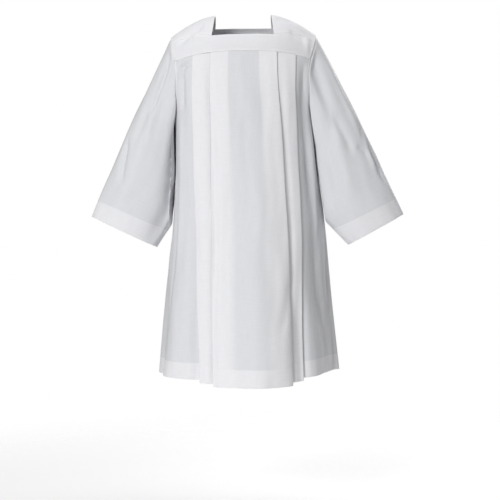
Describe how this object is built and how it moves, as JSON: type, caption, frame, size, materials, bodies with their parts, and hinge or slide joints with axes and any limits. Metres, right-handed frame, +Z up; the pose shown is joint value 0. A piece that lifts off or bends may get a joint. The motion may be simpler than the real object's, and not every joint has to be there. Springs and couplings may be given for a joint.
{
  "type": "surplice",
  "caption": "White pleated square-yoke surplice with wide sleeves, standing hollow as worn, open at the neck, cuffs and hem.",
  "frame": {"origin": "on the shoulder line midway across the neck opening, where the garment hangs on its wearer", "axes": "+Z up, -Y towards the front of the garment, +X towards the wearer's left"},
  "size_m": [0.93, 0.4415, 1.093],
  "materials": {
    "single_cloth": "fine plain-weave white polyester and cotton, slightly sheer",
    "doubled_cloth": "the same white cloth in two layers, nearly opaque"
  },
  "bodies": {
    "root": {"front_panel": "single_cloth", "back_panel": "single_cloth", "front_yoke_band": "doubled_cloth", "back_yoke_band": "doubled_cloth", "shoulder_yoke_left": "doubled_cloth", "shoulder_yoke_right": "doubled_cloth", "sleeve_left": "single_cloth", "sleeve_right": "single_cloth"}
  },
  "joints": []
}
